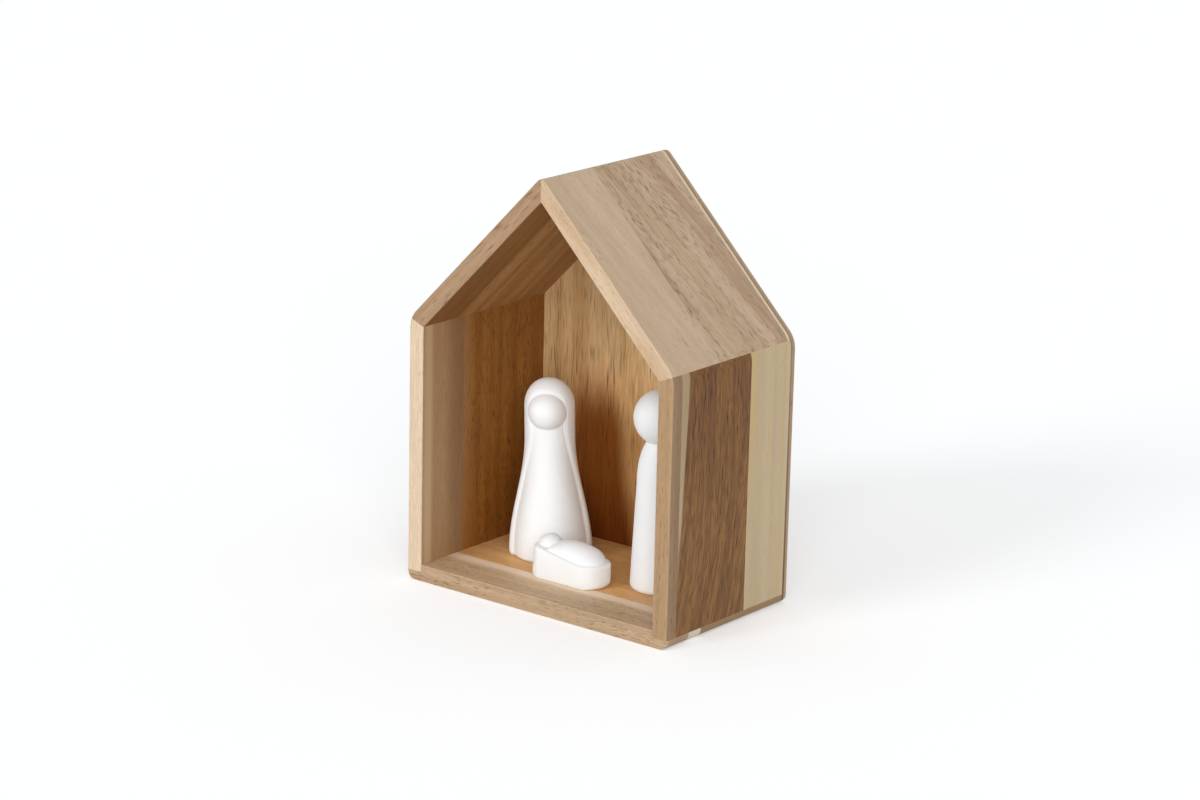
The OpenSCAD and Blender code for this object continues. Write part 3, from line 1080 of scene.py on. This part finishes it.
def make_standing_figure(material):
    """The radius turned about an upright axis: under the foot, up the coat, over the ball."""
    neck_h = head_h - head_r
    ball_start = neck_h + neck_band
    tip = np.linspace(math.asin((ball_start - head_h) / head_r), math.pi / 2, ball_rings)
    hem = np.radians(np.linspace(0, 90, hem_rings))
    z = np.concatenate([
        np.zeros(sole_rings), coat_hem_r * (1 - np.cos(hem)),
        np.linspace(coat_hem_r, chest_h, coat_rings)[1:],
        np.linspace(chest_h, neck_h, shoulder_rings)[1:],
        np.linspace(neck_h, ball_start, coat_rings)[1:], head_h + head_r * np.sin(tip[1:]),
    ])[:, None]
    level = standing_radius(z)
    level[:sole_rings, 0] = np.linspace(0, level[sole_rings, 0], sole_rings, endpoint=False)
    level[-1] = 0.0
    heading = np.linspace(-np.pi, np.pi, standing_columns, endpoint=False)[None]
    heading, level, z = np.broadcast_arrays(heading, level, z)
    points = standing_points(heading, level, z, standing_place, standing_lean)
    closed_grid("standing_figure", points, material, "standing_adult")


# Cradle and infant

cradle_low, cradle_high = span("cradled_infant")
cradle_centre = (*(cradle_low + cradle_high)[:2] / 2, cradle_low[2])
cradle_end_r = (cradle_high[1] - cradle_low[1]) / 2
cradle_reach = (cradle_high[0] - cradle_low[0]) / 2 - cradle_end_r
cradle_nearer = 0.5
head_rim_h = 14.9
foot_rim_h = 10.9
rim_drop = (-17.0, 14.0)
cradle_top_r = 1.2
side_foot_r = 0.9
end_foot_r = 2.6
end_foot_from = (0.3, 0.9)
head_end_lean = 0.9
head_end_in = 0.8
lean_inset = 4.0
crease_inset = 1.7
crease_depth = 0.15
crease_wall = (-0.4, 0.1)
crease_start = (-12.0, -7.0)
foot_lip = 0.7
foot_lip_start = (11.0, 18.0)
crest_h = 18.4
crest_x = 2.5
crest_fall = 0.018
loaf_power = 2.2
loaf_fillet = 0.25
neck_x = -8.4
neck_reach = 3.2
infant_head = (-12.0, 0.0, 13.0)
infant_head_r = 6.2
infant_head_fillet = 0.4
side_columns = 56
end_columns = 74
fine_inset = 3.4
middle_rings = 50
fine_rings = 40
quarter_rings = 11
wall_rings = 9


def rim_height(x):
    """Height of the rim, eased down from the head end to the foot end."""
    return head_rim_h + (foot_rim_h - head_rim_h) * ease(*rim_drop, x)


def cradle_top(x, y, inset):
    """Height of the cradle's top: the rim, the bundle within it and the infant's head.

    The bundle is a loaf: a superellipse of the inset from its crease, times a crest that
    falls off to both ends as the square of the distance, with a blunt start at the neck.
    The head is a ball.
    """
    rim = rim_height(x)
    crease = crease_inset + foot_lip * ease(*foot_lip_start, x)
    depth = crease_depth * ease(*crease_start, x)
    tray = rim - depth * ease(crease + crease_wall[0], crease + crease_wall[1], inset)
    share = np.clip((inset - crease) / (cradle_end_r - crease), 0, 1)
    swell = (1 - (1 - share) ** loaf_power) ** (1 / loaf_power)
    start = np.clip((x - neck_x) / neck_reach, 0, 1)
    swell = swell * np.sqrt(1 - (1 - start) ** 2)
    crest = crest_h - crest_fall * (x - crest_x) ** 2
    low = rim - depth
    loaf = low + (crest - low) * swell
    apart = infant_head_r ** 2 - (x - infant_head[0]) ** 2 - (y - infant_head[1]) ** 2
    ball = np.where(apart > 0, infant_head[2] + np.sqrt(np.maximum(apart, 0)), 0.0)
    return join(join(tray, loaf, loaf_fillet), ball, infant_head_fillet)


def make_cradle(material):
    """A profile carried around a stadium: across the top, over the rim, down and under.

    A place is given by its run around the outline and its inset from it. The head end
    lies a little inwards and leans in towards the top, and both fade across its rim.
    """
    straight = 2 * cradle_reach
    half_turn = math.pi * cradle_end_r
    lap = np.concatenate([
        np.linspace(0, straight, side_columns, endpoint=False),
        straight + np.linspace(0, half_turn, end_columns, endpoint=False),
    ])
    side = np.repeat([1.0, -1.0], len(lap))
    lap = np.tile(lap, 2)
    angle = np.clip((lap - straight) / cradle_end_r, 0, math.pi)
    centre_x = side * (np.clip(lap, 0, straight) - cradle_reach)
    out_x = side * np.sin(angle)
    out_y = -side * np.cos(angle)

    across = np.concatenate([
        np.linspace(cradle_end_r, fine_inset, middle_rings),
        np.linspace(fine_inset, cradle_top_r, fine_rings)[1:],
    ])
    quarter = np.radians(np.linspace(0, 90, quarter_rings))[1:]
    wall = np.linspace(0, 1, wall_rings)[1:-1]
    edge_r = side_foot_r + (end_foot_r - side_foot_r) * ease(*end_foot_from, np.abs(out_x))
    below = np.linspace(0, 1, wall_rings)[1:, None]
    plain = np.ones(len(lap))
    inset = np.concatenate([
        across[:, None] * plain, cradle_top_r * (1 - np.sin(quarter))[:, None] * plain,
        np.zeros((len(wall), len(lap))), edge_r * (1 - np.cos(quarter))[:, None],
        edge_r + (cradle_end_r - edge_r) * below,
    ])
    x = centre_x + out_x * (cradle_end_r - inset)
    y = out_y * (cradle_end_r - inset)
    rim = rim_height(x)
    over, down = len(across), len(across) + len(quarter)
    round_foot = down + len(wall)
    under = round_foot + len(quarter)
    z = np.zeros_like(x)
    z[:over] = cradle_top(x, y, inset)[:over]
    z[over:down] = rim[over:down] - cradle_top_r * (1 - np.cos(quarter))[:, None]
    wall_top = rim[down:round_foot] - cradle_top_r
    z[down:round_foot] = wall_top + (edge_r - wall_top) * wall[:, None]
    z[round_foot:under] = edge_r * (1 - np.sin(quarter))[:, None]
    head_end = ease(-cradle_reach, -cradle_reach - cradle_end_r, x)
    lean = (head_end_in + head_end_lean * ease(0.0, head_rim_h, z)) * head_end
    lean[:over] *= 1 - ease(cradle_top_r, lean_inset, inset[:over])
    points = np.stack([
        cradle_centre[0] + x + lean, cradle_centre[1] + y - cradle_nearer,
        cradle_centre[2] + z,
    ], 2)
    closed_grid("cradled_infant", points, material, "infant")


# Floor and light, with each lamp as (azimuth, elevation, size in degrees, strength)

key_lamp = (-14.0, 25.0, 20.0, 0.86)
fill_lamp = (38.0, 22.0, 38.0, 1.27)
sky_strength = 0.49
floor_half = 3000.0
floor_lift = 0.3
floor_colour = (0.92, 0.935, 0.95, 1.0)


def seen_directly(tree):
    """1 for rays from the camera, a mirror or glass, as an output socket."""
    path = tree.nodes.new("ShaderNodeLightPath").outputs
    shiny = maths(tree, "MAXIMUM", path["Is Glossy Ray"], path["Is Transmission Ray"])
    return maths(tree, "MAXIMUM", path["Is Camera Ray"], shiny)


def make_floor():
    """Plain pale floor that keeps the shadow and shows as white away from it."""
    mesh = bpy.data.meshes.new("floor")
    s = floor_half * MM
    mesh.from_pydata([(-s, -s, 0), (s, -s, 0), (s, s, 0), (-s, s, 0)], [], [(0, 1, 2, 3)])
    floor = bpy.data.objects.new("floor", mesh)
    bpy.context.scene.collection.objects.link(floor)
    material, tree, shader = new_material("floor_white")
    feed(tree, shader, Base_Color=floor_colour, Roughness=1.0, Specular_IOR_Level=0.0)
    strength = maths(tree, "MULTIPLY", seen_directly(tree), floor_lift)
    lift = put(tree, "ShaderNodeEmission", Color=WHITE, Strength=strength)
    both = put(tree, "ShaderNodeAddShader", in0=shader.outputs[0], in1=lift.outputs[0])
    feed(tree, tree.nodes["Material Output"], Surface=both.outputs[0])
    mesh.materials.append(material)


def make_lamp(name, azimuth, elevation, size, strength):
    """Distant soft lamp. Azimuth 0 is in front of the stable and 90 to its right."""
    sun = bpy.data.lights.new(name, "SUN")
    sun.energy = strength
    sun.angle = math.radians(size)
    lamp = bpy.data.objects.new(name, sun)
    side, rise = math.radians(azimuth), math.radians(elevation)
    towards = Vector((
        math.sin(side) * math.cos(rise), -math.cos(side) * math.cos(rise), math.sin(rise),
    ))
    lamp.rotation_mode = "QUATERNION"
    lamp.rotation_quaternion = towards.to_track_quat("Z", "Y")
    bpy.context.scene.collection.objects.link(lamp)


def make_light():
    """A white sky, seen as plain white, a soft key from the front left and a softer fill."""
    scene = bpy.context.scene
    scene.world = bpy.data.worlds.new("studio")
    scene.world.use_nodes = True
    tree = scene.world.node_tree
    strength = maths(
        tree, "MULTIPLY_ADD", seen_directly(tree), 1.0 - sky_strength, sky_strength,
    )
    feed(tree, tree.nodes["Background"], Color=WHITE, Strength=strength)
    make_lamp("key", *key_lamp)
    make_lamp("fill", *fill_lamp)
    scene.view_settings.view_transform = "Standard"


make_camera()
make_light()
make_floor()
make_stable()
white_ceramic = ceramic()
make_veiled_figure(white_ceramic)
make_standing_figure(white_ceramic)
make_cradle(white_ceramic)
